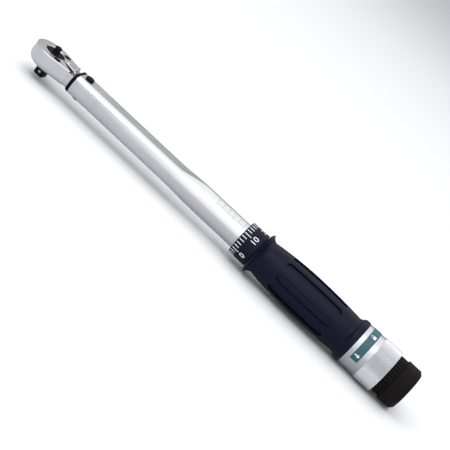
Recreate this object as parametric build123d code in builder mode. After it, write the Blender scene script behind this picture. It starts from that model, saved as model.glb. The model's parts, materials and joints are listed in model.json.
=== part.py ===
from build123d import *
from math import acos, atan2, cos, degrees, hypot, pi, radians, sin, sqrt
import os

os.makedirs("parts", exist_ok=True)

# Click torque wrench with a reversible ratchet head, in millimetres.
# The tube's axis is X, from the head to the handle. The drive's axis is Z, square end down.
# The origin is where the two axes cross.

# Running fits and gaps
shaft_gap = 0.05
slide_gap = 0.1
seat_gap = 0.05
free_gap = 0.3
press_gap = 0.02
cut_over = 1.0

# Square drive, its ball and its release button
drive_af = 6.35
drive_edge_r = 0.8
drive_tip_chamfer = 0.75
drive_tip_z = -12.2
hub_r = 6.0
hub_bevel = 0.35
hub_sink = 0.15
window_bevel = 0.25
ball_r = 1.2
ball_proud = 0.55
ball_z = -9.4
ball_travel = 0.5
button_r = 2.0
button_top_z = 8.3
button_foot_z = 3.2
button_travel = 1.0
button_edge_r = 0.45
button_bore_z = 1.0
rod_r = 1.15
rod_foot_z = -10.5
button_wire = 0.36
button_spring_turns = 3

# Ratchet wheel
tooth_count = 48
wheel_r = 7.3
tooth_depth = 0.42
wheel_room = 0.15
wheel_low_z = -2.7
wheel_high_z = 2.3

# Head housing
head_r = 12.0
head_top_z = 4.6
head_low_z = -5.8
head_belly_r = 4.2
head_rim_r = 0.45
shoulder_x = 15.2
shoulder_w = 15.6
neck_inset = 1.0
cavity_low_z = -2.8
plate_low_z = 2.4
plate_rim = 0.95

# Cover plate screws
screw_x = 5.3
screw_y = 7.0
screw_head_r = 2.2
screw_head_h = 1.15
screw_proud = 0.12
screw_shank_r = 0.95
screw_len = 5.6
screw_key_af = 1.7
screw_key_depth = 0.8
screw_bevel = 0.25

# Reversing lever and pawl, which share one pivot
pivot_x = 9.9
lever_swing = 16.0
lever_nose_x = 7.7
lever_nose_r = 0.9
lever_corner_x = 16.3
lever_corner_y = 4.4
lever_corner_r = 0.6
lever_low_z = 3.5
lever_top_z = 5.2
lever_boss_r = 1.5
lever_boss_h = 0.5
lever_boss_edge_r = 0.35
lever_rib_w = 1.3
lever_rib_h = 0.9
lever_rib_r = 0.6
lever_rib_sink = 0.4
lever_bevel = 0.3
lever_pin_r = 1.3
lever_pin_z = -4.2
lever_pocket_z = 3.4
lever_pocket_run = 1.6
neck_step_gap = 0.4
pawl_r = 6.2
pawl_back = 2.4
pawl_relief_w = 4.8
pawl_low_z = -2.7
pawl_high_z = 2.3
pawl_mesh_gap = 0.05
pawl_room = 0.2
pawl_back_room = 1.1
detent_r = 1.0
detent_x = 12.1
detent_len = 4.2
detent_nose_r = 0.85

# Pivot pin of the head in the tube
pin_x = 25.3
pin_r = 2.55
pin_proud = 1.6
pin_dome_r = 0.72

# Shank and tail inside the tube
shank_boss_r = 5.0
shank_half_h = 4.4
tail_front_x = 31.0
tail_front_w = 8.4
tail_front_h = 7.8
tail_end_x = 112.0
tail_end_w = 6.4
tail_end_h = 7.2
tail_edge_r = 0.9
tail_slope_len = 2.0

# Tube
tube_x = 20.9
tube_end_x = 203.0
tube_r = 8.3
tube_wall = 1.45
flat_side_r = 8.8
flat_half_h = 6.2
flat_corner_r = 3.8
round_half_h = 8.28
round_corner_r = 7.7
flat_end_x = 95.0
round_start_x = 117.0
blend_steps = 6

# Rubber seal in front of the tube
seal_x = 18.7
seal_edge_r = 0.5

# Tilt block, plunger and main spring
block_len = 5.2
block_h = 6.0
block_edge_r = 1.0
block_room = 0.35
plunger_front_x = 116.6
plunger_end_x = 130.0
plunger_spigot_r = 4.4
plunger_spigot_len = 4.0
plunger_bevel = 0.5
spring_r = 6.4
spring_wire = 1.8
spring_turns = 7

# Spring seat, adjusting screw and nut
seat_x = 168.0
seat_len = 3.0
seat_r = 6.5
washer_len = 1.8
washer_r = 6.2
screw_r = 5.0
screw_front_bevel = 0.6
rod_af = 5.5
nut_len = 10.0
nut_flange_len = 1.6
nut_flange_r = 8.1
flange_x = 225.6
flange_len = 3.0

# Thimble and its sleeve
thimble_x = 148.0
thimble_end_x = 159.7
thimble_front_r = 10.7
thimble_end_r = 10.95
thimble_bevel = 0.5
sleeve_r = 9.8
sleeve_bore_r = 8.5
sleeve_seat_r = 8.95

# Grip
grip_x = 160.2
grip_root_r = 11.0
collar_front_x = 161.8
collar_front_r = 13.65
grip_neck_x = 165.4
grip_neck_r = 10.8
belly_x = 198.0
belly_r = 13.0
rear_neck_x = 226.7
rear_neck_r = 12.0
flare_x = 229.15
flare_r = 13.0
bell_x = 231.6
bell_r = 14.05
grip_end_x = 233.2
slot_x = 197.6
slot_len = 40.0
slot_w = 4.9
slot_depth = 1.1
slot_count = 9
slot_turn = 10.0
grip_nose_sag = 0.35
grip_swoop_sag = 0.7
grip_rise_sag = 0.55
grip_fall_sag = 0.25
grip_flare_sag = 0.3

# Locking collar at the rear of the handle
band_r = 13.7
knurl_x = 245.1
knurl_end_x = 257.0
knurl_r = 14.25
knurl_count = 80
knurl_depth = 0.42
collar_boss_x = 228.7
collar_bevel = 0.4
label_x = 239.0
label_w = 5.1
label_t = 0.15
label_gap = 0.02
label_from = -12.5
label_to = 150.0

# Lock knob, shown pulled out, and its rod
lock_travel = 5.0
knob_neck_x = 246.5
knob_neck_r = 12.6
spline_count = 36
spline_w = 0.75
spline_depth = 0.7
spline_gap = 0.12
cap_x = 262.7
cap_end_x = 272.7
cap_r = 13.5
cap_front_chamfer = 0.4
cap_rear_chamfer = 1.6
lock_rod_x = 160.0
lock_rod_end_x = 269.0
lock_rod_r = 2.6
lock_hex_len = 4.5
knob_pin_x = 266.8
knob_pin_r = 1.1
knob_pin_angle = -20.0
knob_pin_back = 2.0
knob_pin_sink = 0.15
knob_pin_bevel = 0.2
ring_x = 249.5
ring_w = 1.2
ring_r = 11.9
ring_depth = 0.9
ring_arc = 330.0

# Sizes that follow from those above
from_below = (Align.CENTER, Align.CENTER, Align.MIN)
from_above = (Align.CENTER, Align.CENTER, Align.MAX)
drive_half = drive_af / 2
ball_y = -(drive_half + ball_proud - ball_r)
rest_turn = lever_swing / 2
lever_plane_x = (cos(radians(rest_turn)), sin(radians(rest_turn)), 0)
seal_end_x = tube_x - seat_gap
neck_end_x = seal_end_x - free_gap
shank_x = seal_end_x + free_gap
block_x = tail_end_x + free_gap
block_end_x = block_x + block_len
block_seat_x = block_end_x + block_room
spring_len = seat_x - plunger_end_x
washer_x = seat_x + seat_len + slide_gap
screw_front_x = washer_x + washer_len + slide_gap
cavity_r = wheel_r + wheel_room
bore_r = tube_r - tube_wall
rod_turn_r = rod_af / sqrt(3)
lock_hex_x = seat_x + seat_len + free_gap
collar_bore_x = knob_neck_x - lock_travel - free_gap
ring_groove_r = ring_r - ring_depth


def at_x(x):
    """Plane across the tube's axis at x, its own x along Y and its own y along Z."""
    return Plane(origin=(x, 0, 0), x_dir=(0, 1, 0), z_dir=(1, 0, 0))


def about_pivot(z):
    """Plane at height z on the lever's pivot, turned with the lever at rest."""
    return Plane(origin=(pivot_x, 0, z), x_dir=lever_plane_x, z_dir=(0, 0, 1))


def around(x, turn, reach=0):
    """Plane that looks out from the tube's axis at x; turn is measured up from the camera side."""
    out = (0, -cos(radians(turn)), sin(radians(turn)))
    return Plane(origin=(x, reach * out[1], reach * out[2]), x_dir=(1, 0, 0), z_dir=out)


def wheel_outline(gap=0):
    """Ratchet wheel outline with vee notches, grown by a gap."""
    notch = sqrt(2) * (tooth_depth - gap * (sqrt(2) - 1))
    with BuildSketch() as outline:
        Circle(wheel_r + gap)
        with PolarLocations(wheel_r + gap, tooth_count):
            Rectangle(notch, notch, rotation=45, mode=Mode.SUBTRACT)
    return outline.sketch


def head_outline(inset=0):
    """Plan of the head: a circle and its tangents to the two shoulder corners."""
    reach = hypot(shoulder_x, shoulder_w / 2)
    turn = atan2(shoulder_x, shoulder_w / 2) - acos(head_r / reach)
    touch = (head_r * sin(turn), head_r * cos(turn))
    with BuildSketch() as outline:
        with BuildLine():
            ThreePointArc(touch, (-head_r, 0), (touch[0], -touch[1]))
            Polyline(
                (touch[0], -touch[1]),
                (shoulder_x, -shoulder_w / 2),
                (shoulder_x, shoulder_w / 2),
                touch,
            )
        make_face()
        if inset:
            offset(amount=-inset, kind=Kind.INTERSECTION)
    return outline.sketch


def lever_outline():
    """Plan of the lever about its pivot, pointing back along X."""
    with BuildSketch() as outline:
        with Locations((lever_nose_x - pivot_x, 0)):
            Circle(lever_nose_r)
        with Locations(
            (lever_corner_x - pivot_x, lever_corner_y),
            (lever_corner_x - pivot_x, -lever_corner_y),
        ):
            Circle(lever_corner_r)
        make_hull(mode=Mode.REPLACE)
    return outline.sketch


def lever_pocket():
    """Plan of the fan that the lever swings in, open towards the tube."""
    nose_r = lever_nose_r + (pivot_x - lever_nose_x) * sin(radians(lever_swing / 2)) + free_gap
    reach = hypot(lever_corner_x - pivot_x, lever_corner_y)
    turn = atan2(lever_corner_y, lever_corner_x - pivot_x) + radians(lever_swing / 2)
    corner_r = lever_corner_r + free_gap
    run = lever_pocket_run * reach
    with BuildSketch() as outline:
        with Locations((lever_nose_x, 0)):
            Circle(nose_r)
        for side in (1, -1):
            with Locations((pivot_x + reach * cos(turn), side * reach * sin(turn))):
                Circle(corner_r)
            with Locations((pivot_x + run * cos(turn), side * run * sin(turn))):
                Circle(corner_r)
        make_hull(mode=Mode.REPLACE)
    return outline.sketch


def tube_section(x, inset=0):
    """Tube section at x: round at the rear, pressed flat on top and below near the head."""
    share = min(max((x - flat_end_x) / (round_start_x - flat_end_x), 0), 1)
    blend = 0.5 - 0.5 * cos(pi * share)
    side_r = flat_side_r + (tube_r - flat_side_r) * blend
    half_h = flat_half_h + (round_half_h - flat_half_h) * blend
    corner_r = flat_corner_r + (round_corner_r - flat_corner_r) * blend
    lift = half_h - corner_r
    out = sqrt((side_r - corner_r) ** 2 - lift**2)
    turn = atan2(lift, out)
    side_r, half_h, corner_r = side_r - inset, half_h - inset, corner_r - inset
    touch = (side_r * cos(turn), side_r * sin(turn))
    mid = (turn + pi / 2) / 2
    knee = (out + corner_r * cos(mid), lift + corner_r * sin(mid))
    with BuildSketch(at_x(x)) as section:
        with BuildLine():
            Line((-out, half_h), (out, half_h))
            ThreePointArc((out, half_h), knee, touch)
            ThreePointArc(touch, (side_r, 0), (touch[0], -touch[1]))
            ThreePointArc((touch[0], -touch[1]), (knee[0], -knee[1]), (out, -half_h))
            Line((out, -half_h), (-out, -half_h))
            ThreePointArc((-out, -half_h), (-knee[0], -knee[1]), (-touch[0], -touch[1]))
            ThreePointArc((-touch[0], -touch[1]), (-side_r, 0), (-touch[0], touch[1]))
            ThreePointArc((-touch[0], touch[1]), (-knee[0], knee[1]), (-out, half_h))
        make_face()
    return section.sketch


def tube_form(inset=0):
    """Solid form of the tube, or of its bore when inset by the wall."""
    step = (round_start_x - flat_end_x) / blend_steps
    with BuildPart() as form:
        extrude(tube_section(tube_x, inset), amount=flat_end_x - tube_x)
        loft([tube_section(flat_end_x + step * i, inset) for i in range(blend_steps + 1)], ruled=True)
        extrude(tube_section(round_start_x, inset), amount=tube_end_x - round_start_x)
    return form.part


def spline_outline(gap=0):
    """Outline of the splined neck, grown by a gap."""
    with BuildSketch() as outline:
        Circle(knob_neck_r + gap)
        with PolarLocations(knob_neck_r, spline_count):
            Rectangle(2 * (spline_depth - gap), spline_w - 2 * gap, mode=Mode.SUBTRACT)
    return outline.sketch


def knurl_outline():
    """Straight knurl: a circle with vee grooves."""
    groove = knurl_depth * sqrt(2)
    with BuildSketch() as outline:
        Circle(knurl_r)
        with PolarLocations(knurl_r, knurl_count):
            Rectangle(groove, groove, rotation=45, mode=Mode.SUBTRACT)
    return outline.sketch


pin_plane = around(knob_pin_x, knob_pin_angle, -knob_pin_back)

# Head housing with its neck, shank and tail
with BuildPart() as head:
    extrude(Plane.XY.offset(head_low_z) * head_outline(), amount=head_top_z - head_low_z)
    low_edges = head.edges().group_by(Axis.Z)[0].filter_by_position(Axis.X, -head_r, shoulder_x - 0.1)
    fillet(low_edges, head_belly_r)
    rim_edges = head.edges().group_by(Axis.Z)[-1].filter_by_position(Axis.X, -head_r, shoulder_x - 0.1)
    fillet(rim_edges, head_rim_r)
    # neck through the seal, shaped like the tube's mouth, and a round link to the shank
    extrude(tube_section(shoulder_x - cut_over, neck_inset), amount=neck_end_x - shoulder_x + cut_over)
    with BuildSketch(at_x(shoulder_x)):
        Circle(shank_half_h)
    extrude(amount=shank_x - shoulder_x + cut_over)
    # shank and tail: a plan crossed with a side view
    with BuildSketch(Plane.XY.offset(-shank_half_h)):
        with BuildLine():
            Polyline(
                (shank_x, shank_boss_r),
                (pin_x, shank_boss_r),
                (tail_front_x, tail_front_w / 2),
                (tail_end_x, tail_end_w / 2),
                (tail_end_x, -tail_end_w / 2),
                (tail_front_x, -tail_front_w / 2),
                (pin_x, -shank_boss_r),
                (shank_x, -shank_boss_r),
                close=True,
            )
        make_face()
    extrude(amount=2 * shank_half_h)
    for side in (1, -1):
        with BuildSketch(Plane.XZ.offset(-shank_boss_r)):
            with BuildLine():
                Polyline(
                    (pin_x + shank_boss_r, side * (shank_half_h + cut_over)),
                    (pin_x + shank_boss_r, side * shank_half_h),
                    (tail_front_x + tail_slope_len, side * tail_front_h / 2),
                    (tail_end_x + cut_over, side * tail_end_h / 2),
                    (tail_end_x + cut_over, side * (shank_half_h + cut_over)),
                    close=True,
                )
            make_face()
        extrude(amount=2 * shank_boss_r, mode=Mode.SUBTRACT)
    tail_edges = head.edges().filter_by_position(Axis.X, tail_front_x + 1, tail_end_x - 1)
    fillet(tail_edges.filter_by(lambda e: e.length > tail_end_x - tail_front_x - 10), tail_edge_r)
    # recess of the cover plate, cavity of the wheel, pocket of the pawl
    extrude(
        Plane.XY.offset(plate_low_z) * head_outline(plate_rim),
        amount=head_top_z - plate_low_z,
        mode=Mode.SUBTRACT,
    )
    with BuildSketch(Plane.XY.offset(cavity_low_z)):
        Circle(cavity_r)
        with Locations((pivot_x, 0)):
            Circle(pawl_r + pawl_room)
        with Locations((pivot_x + pawl_back + pawl_back_room, 0)):
            Rectangle(pawl_r, 4 * pawl_r, align=(Align.MIN, Align.CENTER), mode=Mode.SUBTRACT)
    extrude(amount=plate_low_z - cavity_low_z, mode=Mode.SUBTRACT)
    # fan of the lever, run out over the neck
    extrude(Plane.XY.offset(lever_pocket_z) * lever_pocket(), amount=flat_side_r, mode=Mode.SUBTRACT)
    with BuildSketch(Plane.XY.offset(lever_pocket_z)):
        with Locations((shoulder_x, 0)):
            Rectangle(seal_x - neck_step_gap - shoulder_x, 3 * flat_side_r, align=(Align.MIN, Align.CENTER))
    extrude(amount=flat_side_r, mode=Mode.SUBTRACT)
    # bores: wheel hub, lever pin, detent, pivot pin and screws
    with Locations((0, 0, head_low_z)):
        Cylinder(hub_r + shaft_gap, wheel_low_z - head_low_z, align=from_below, mode=Mode.SUBTRACT)
    with Locations((pivot_x, 0, lever_pin_z - free_gap)):
        pin_bore_len = wheel_low_z - lever_pin_z + cut_over
        Cylinder(lever_pin_r + shaft_gap, pin_bore_len, align=from_below, mode=Mode.SUBTRACT)
    with BuildSketch(at_x(pivot_x + pawl_back)):
        Circle(detent_r + shaft_gap)
    extrude(amount=detent_x + detent_len + free_gap - pivot_x - pawl_back, mode=Mode.SUBTRACT)
    with Locations((pin_x, 0, 0)):
        Cylinder(pin_r + shaft_gap, 4 * shank_half_h, mode=Mode.SUBTRACT)
    with Locations((screw_x, screw_y, plate_low_z), (screw_x, -screw_y, plate_low_z)):
        Cylinder(screw_shank_r + seat_gap, screw_len, align=from_above, mode=Mode.SUBTRACT)
head.part.label = "head_housing"
export_step(head.part, "parts/head_housing.step")

# Cover plate with the hub's window and the lever's fan
with BuildPart() as plate:
    extrude(
        Plane.XY.offset(plate_low_z) * head_outline(plate_rim + seat_gap),
        amount=head_top_z - plate_low_z,
    )
    with Locations((0, 0, plate_low_z)):
        Cylinder(hub_r + slide_gap, head_top_z, align=from_below, mode=Mode.SUBTRACT)
    top_circles = plate.edges().filter_by(GeomType.CIRCLE).group_by(Axis.Z)[-1]
    chamfer(top_circles.sort_by(SortBy.RADIUS)[0], window_bevel)
    extrude(Plane.XY.offset(lever_pocket_z) * lever_pocket(), amount=flat_side_r, mode=Mode.SUBTRACT)
    with Locations((pivot_x, 0, plate_low_z)):
        Cylinder(lever_pin_r + shaft_gap, head_top_z, align=from_below, mode=Mode.SUBTRACT)
    with Locations((screw_x, screw_y, head_top_z), (screw_x, -screw_y, head_top_z)):
        CounterBoreHole(
            screw_shank_r + seat_gap, screw_head_r + seat_gap, screw_head_h - screw_proud, head_top_z
        )
plate.part.label = "cover_plate"
export_step(plate.part, "parts/cover_plate.step")

# Cover plate screws with hexagon sockets
with BuildPart() as screws:
    for side in (1, -1):
        with Locations((screw_x, side * screw_y, head_top_z + screw_proud)):
            Cylinder(screw_head_r, screw_head_h, align=from_above)
        with Locations((screw_x, side * screw_y, head_top_z)):
            Cylinder(screw_shank_r, head_top_z - plate_low_z + screw_len - free_gap, align=from_above)
    chamfer(screws.edges().group_by(Axis.Z)[-1], screw_bevel)
    with BuildSketch(Plane.XY.offset(head_top_z + screw_proud)):
        with Locations((screw_x, screw_y), (screw_x, -screw_y)):
            RegularPolygon(screw_key_af / 2, 6, major_radius=False)
    extrude(amount=-screw_key_depth, mode=Mode.SUBTRACT)
screws.part.label = "cover_screws"
export_step(screws.part, "parts/cover_screws.step")

# Ratchet wheel in one piece with its hubs and the square drive
with BuildPart() as wheel:
    extrude(Plane.XY.offset(wheel_low_z) * wheel_outline(), amount=wheel_high_z - wheel_low_z)
    with Locations((0, 0, head_low_z)):
        Cylinder(hub_r, head_top_z - hub_sink - head_low_z, align=from_below)
    chamfer(wheel.edges().group_by(Axis.Z)[-1], hub_bevel)
    chamfer(wheel.edges().group_by(Axis.Z)[0], hub_bevel)
    with BuildSketch(Plane.XY.offset(drive_tip_z)):
        RectangleRounded(drive_af, drive_af, drive_edge_r)
    extrude(amount=head_low_z - drive_tip_z + cut_over)
    chamfer(wheel.edges().group_by(Axis.Z)[0], drive_tip_chamfer)
    with Locations((0, 0, rod_foot_z - button_travel - slide_gap)):
        Cylinder(rod_r + shaft_gap, head_top_z - rod_foot_z, align=from_below, mode=Mode.SUBTRACT)
    with Locations((0, 0, button_bore_z)):
        Cylinder(button_r + slide_gap, head_top_z, align=from_below, mode=Mode.SUBTRACT)
    with BuildSketch(Plane.XZ):
        with Locations((0, ball_z)):
            Circle(ball_r + shaft_gap)
    extrude(amount=drive_half, mode=Mode.SUBTRACT)
wheel.part.label = "drive_gear"
export_step(wheel.part, "parts/drive_gear.step")

# Detent ball in the drive's side
with BuildPart() as ball:
    with Locations((0, ball_y, ball_z)):
        Sphere(ball_r)
ball.part.label = "drive_ball"
export_step(ball.part, "parts/drive_ball.step")

# Release button and its rod, with the groove that lets the ball in
with BuildPart() as button:
    with Locations((0, 0, button_foot_z)):
        Cylinder(button_r, button_top_z - button_foot_z, align=from_below)
    fillet(button.edges().group_by(Axis.Z)[-1], button_edge_r)
    with Locations((0, 0, rod_foot_z)):
        Cylinder(rod_r, button_foot_z - rod_foot_z, align=from_below)
    groove_run = hypot(ball_travel, button_travel)
    groove_turn = degrees(atan2(button_travel, -ball_travel))
    with BuildSketch(Plane.XZ):
        with Locations((-ball_y - ball_travel / 2, ball_z + button_travel / 2)):
            SlotCenterToCenter(groove_run, 2 * (ball_r + shaft_gap), rotation=groove_turn)
    revolve(axis=Axis.Z, mode=Mode.SUBTRACT)
button.part.label = "release_button"
export_step(button.part, "parts/release_button.step")

# Spring under the button
with BuildPart() as button_spring:
    coil_r = (rod_r + button_r) / 2
    coil_len = button_foot_z - button_bore_z - button_wire - 2 * seat_gap
    coil_foot_z = button_bore_z + seat_gap + button_wire / 2
    with BuildLine() as button_coil:
        Helix(coil_len / button_spring_turns, coil_len, coil_r, center=(0, 0, coil_foot_z))
    with BuildSketch(Plane(button_coil.line @ 0, x_dir=(1, 0, 0), z_dir=button_coil.line % 0)):
        Rectangle(button_wire, button_wire)
    sweep(path=button_coil.line, is_frenet=True)
button_spring.part.label = "button_spring"
export_step(button_spring.part, "parts/button_spring.step")

# Reversing lever with its boss, thumb rib and pin
with BuildPart() as lever:
    extrude(about_pivot(lever_low_z) * lever_outline(), amount=lever_top_z - lever_low_z)
    chamfer(lever.edges().group_by(Axis.Z)[-1], lever_bevel)
    with BuildSketch(about_pivot(lever_top_z - lever_rib_sink)):
        with Locations((lever_corner_x - pivot_x + lever_corner_r - lever_bevel, 0)):
            RectangleRounded(
                lever_rib_w, 2 * lever_corner_y, lever_rib_r, align=(Align.MAX, Align.CENTER)
            )
    extrude(amount=lever_rib_h + lever_rib_sink)
    fillet(lever.edges().group_by(Axis.Z)[-1], lever_bevel)
    with Locations((pivot_x, 0, lever_top_z)):
        Cylinder(lever_boss_r, lever_boss_h, align=from_below)
    circles = lever.edges().filter_by(GeomType.CIRCLE)
    boss_rims = circles.filter_by(lambda e: abs(e.radius - lever_boss_r) < press_gap)
    fillet(boss_rims.sort_by(Axis.Z)[-1], lever_boss_edge_r)
    with Locations((pivot_x, 0, lever_pin_z)):
        Cylinder(lever_pin_r, lever_low_z - lever_pin_z, align=from_below)
lever.part.label = "reversing_lever"
export_step(lever.part, "parts/reversing_lever.step")

# Two-ended pawl: its teeth are cut by the wheel at both ends of the swing
with BuildPart() as pawl:
    with BuildSketch(about_pivot(pawl_low_z)):
        Circle(pawl_r)
        with Locations((pawl_back, 0)):
            Rectangle(pawl_r, 3 * pawl_r, align=(Align.MIN, Align.CENTER), mode=Mode.SUBTRACT)
        with Locations((wheel_r + free_gap - pivot_x, 0)):
            Rectangle(pawl_r, pawl_relief_w, align=(Align.MAX, Align.CENTER), mode=Mode.SUBTRACT)
        Circle(lever_pin_r + shaft_gap, mode=Mode.SUBTRACT)
    extrude(amount=pawl_high_z - pawl_low_z)
    for turn in (0, radians(lever_swing)):
        centre = (pivot_x - pivot_x * cos(turn), -pivot_x * sin(turn), pawl_low_z)
        wheel_plane = Plane(origin=centre, x_dir=(cos(turn), sin(turn), 0), z_dir=(0, 0, 1))
        extrude(
            wheel_plane * wheel_outline(pawl_mesh_gap),
            amount=pawl_high_z - pawl_low_z,
            mode=Mode.SUBTRACT,
        )
    # track of the detent pin behind the pivot
    track_w = 2 * (detent_r + slide_gap + pawl_back * sin(radians(lever_swing / 2)))
    with BuildSketch(about_pivot(-detent_r - slide_gap)):
        Rectangle(pawl_r, track_w, align=(Align.MIN, Align.CENTER))
        Circle(detent_x - pivot_x - slide_gap, mode=Mode.SUBTRACT)
    extrude(amount=2 * (detent_r + slide_gap), mode=Mode.SUBTRACT)
pawl.part.label = "pawl"
export_step(pawl.part, "parts/pawl.step")

# Detent pin in the neck, its nose in the pawl's track
with BuildPart() as detent:
    with BuildSketch(at_x(detent_x)):
        Circle(detent_r)
    extrude(amount=detent_len)
    fillet(detent.edges().group_by(Axis.X)[0], detent_nose_r)
detent.part.label = "detent_pin"
export_step(detent.part, "parts/detent_pin.step")

# Rubber seal around the neck, outlined like the tube's mouth
with BuildPart() as seal:
    extrude(tube_section(seal_end_x), amount=seal_x - seal_end_x)
    fillet(seal.edges().group_by(Axis.X)[0], seal_edge_r)
    extrude(tube_section(tube_x, neck_inset - free_gap), amount=seal_x - tube_x, mode=Mode.SUBTRACT)
seal.part.label = "seal_ring"
export_step(seal.part, "parts/seal_ring.step")

# Tube
with BuildPart() as tube:
    add(tube_form())
    add(tube_form(tube_wall), mode=Mode.SUBTRACT)
    with Locations((pin_x, 0, 0)):
        Cylinder(pin_r + press_gap, 4 * tube_r, mode=Mode.SUBTRACT)
tube.part.label = "tube"
export_step(tube.part, "parts/tube.step")

# Pivot pin with domed ends
with BuildPart() as pin:
    with Locations((pin_x, 0, 0)):
        Cylinder(pin_r, 2 * (flat_half_h + pin_proud))
    fillet(pin.edges(), pin_dome_r)
pin.part.label = "pivot_pin"
export_step(pin.part, "parts/pivot_pin.step")

# Tilt block between the tail and the plunger
with BuildPart() as block:
    with BuildSketch(Plane.XY.offset(-block_h / 2)):
        with Locations((block_x + block_len / 2, 0)):
            RectangleRounded(block_len, block_len, block_edge_r)
    extrude(amount=block_h)
block.part.label = "tilt_block"
export_step(block.part, "parts/tilt_block.step")

# Plunger with the block's socket in front and a spigot in the spring
with BuildPart() as plunger:
    with BuildSketch(at_x(plunger_front_x)):
        Circle(bore_r - slide_gap)
    extrude(amount=plunger_end_x - plunger_front_x)
    with BuildSketch(at_x(plunger_end_x)):
        Circle(plunger_spigot_r)
    extrude(amount=plunger_spigot_len)
    with BuildSketch(at_x(plunger_front_x)):
        Rectangle(block_len + 4 * block_room, block_h + 2 * block_room)
    extrude(amount=block_seat_x - plunger_front_x, mode=Mode.SUBTRACT)
    chamfer(plunger.faces().sort_by(Axis.X)[-1].edges(), plunger_bevel)
plunger.part.label = "plunger"
export_step(plunger.part, "parts/plunger.step")

# Main spring, square wire
with BuildPart() as spring:
    wire_path = Helix(
        (spring_len - spring_wire - 2 * seat_gap) / spring_turns,
        spring_len - spring_wire - 2 * seat_gap,
        spring_r - spring_wire / 2,
        center=(plunger_end_x + seat_gap + spring_wire / 2, 0, 0),
        direction=(1, 0, 0),
    )
    with BuildSketch(Plane(wire_path @ 0, x_dir=(1, 0, 0), z_dir=wire_path % 0)):
        Rectangle(spring_wire, spring_wire)
    sweep(path=wire_path, is_frenet=True)
spring.part.label = "main_spring"
export_step(spring.part, "parts/main_spring.step")

# Spring seat with the lock rod's hexagonal bore
with BuildPart() as seat:
    with BuildSketch(at_x(seat_x)):
        Circle(seat_r)
    extrude(amount=seat_len)
    with BuildSketch(at_x(seat_x)):
        Circle(plunger_spigot_r)
    extrude(amount=-plunger_spigot_len)
    with BuildSketch(at_x(seat_x - plunger_spigot_len)):
        RegularPolygon(rod_af / 2 + slide_gap, 6, major_radius=False)
    extrude(amount=seat_len + plunger_spigot_len, mode=Mode.SUBTRACT)
seat.part.label = "spring_seat"
export_step(seat.part, "parts/spring_seat.step")

# Thrust washer between the seat and the adjusting screw
with BuildPart() as washer:
    with BuildSketch(at_x(washer_x)):
        Circle(washer_r)
        Circle(rod_turn_r + free_gap, mode=Mode.SUBTRACT)
    extrude(amount=washer_len)
washer.part.label = "thrust_washer"
export_step(washer.part, "parts/thrust_washer.step")

# Adjuster nut, fixed in the tube's end
with BuildPart() as nut:
    with BuildSketch(at_x(tube_end_x - nut_len)):
        Circle(bore_r - seat_gap)
    extrude(amount=nut_len + seat_gap)
    with BuildSketch(at_x(tube_end_x + seat_gap)):
        Circle(nut_flange_r)
    extrude(amount=nut_flange_len)
    with BuildSketch(at_x(tube_end_x - nut_len)):
        Circle(screw_r + shaft_gap)
    extrude(amount=nut_len + seat_gap + nut_flange_len, mode=Mode.SUBTRACT)
nut.part.label = "adjuster_nut"
export_step(nut.part, "parts/adjuster_nut.step")

# Hollow adjusting screw with the flange that the handle clamps
with BuildPart() as screw:
    with BuildSketch(at_x(screw_front_x)):
        Circle(screw_r)
    extrude(amount=flange_x - screw_front_x + flange_len)
    with BuildSketch(at_x(flange_x + seat_gap)):
        Circle(sleeve_seat_r - seat_gap)
    extrude(amount=flange_len - seat_gap)
    with BuildSketch(at_x(screw_front_x)):
        Circle(rod_turn_r + free_gap)
    extrude(amount=flange_x - screw_front_x + flange_len, mode=Mode.SUBTRACT)
    chamfer(screw.edges().group_by(Axis.X)[0].sort_by(SortBy.RADIUS)[-1], screw_front_bevel)
screw.part.label = "adjusting_screw"
export_step(screw.part, "parts/adjusting_screw.step")

# Thimble in one piece with the sleeve under the grip
with BuildPart() as thimble:
    with BuildSketch(Plane.XZ):
        with BuildLine():
            Polyline(
                (thimble_x, sleeve_bore_r),
                (thimble_x, thimble_front_r - thimble_bevel),
                (thimble_x + thimble_bevel, thimble_front_r),
                (thimble_end_x, thimble_end_r),
                (thimble_end_x, sleeve_r),
                (grip_end_x, sleeve_r),
                (grip_end_x, sleeve_seat_r),
                (flange_x, sleeve_seat_r),
                (flange_x, sleeve_bore_r),
                close=True,
            )
        make_face()
    revolve(axis=Axis.X)
thimble.part.label = "thimble"
export_step(thimble.part, "parts/thimble.step")


def grip_profile(inset=0, core_r=sleeve_r + seat_gap):
    """Half section of the grip around a core; an inset gives the bottom of its slots."""
    with BuildSketch(Plane.XZ) as section:
        with BuildLine():
            lip = Line((grip_x, core_r), (grip_x, grip_root_r - inset))
            nose = SagittaArc(lip @ 1, (collar_front_x, collar_front_r - inset), grip_nose_sag)
            swoop = SagittaArc(nose @ 1, (grip_neck_x, grip_neck_r - inset), -grip_swoop_sag)
            rise = SagittaArc(swoop @ 1, (belly_x, belly_r - inset), grip_rise_sag)
            fall = SagittaArc(rise @ 1, (rear_neck_x, rear_neck_r - inset), grip_fall_sag)
            flare = SagittaArc(fall @ 1, (flare_x, flare_r - inset), -grip_flare_sag)
            bell = SagittaArc(flare @ 1, (bell_x, bell_r - inset), grip_flare_sag)
            Polyline(
                bell @ 1,
                (grip_end_x, bell_r - inset),
                (grip_end_x, core_r),
                lip @ 0,
            )
        make_face()
    return section.sketch


# Grooves of the grip: round-ended slots of even depth that follow the belly
with BuildPart() as slots:
    for i in range(slot_count):
        with BuildSketch(around(slot_x, slot_turn + 360 / slot_count * i)):
            SlotOverall(slot_len, slot_w)
        extrude(amount=2 * belly_r)
    revolve(grip_profile(slot_depth, sleeve_r / 2), axis=Axis.X, mode=Mode.SUBTRACT)

# Grip moulded over the sleeve
with BuildPart() as grip:
    revolve(grip_profile(), axis=Axis.X)
    add(slots.part, mode=Mode.SUBTRACT)
grip.part.label = "grip"
export_step(grip.part, "parts/grip.step")

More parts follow.
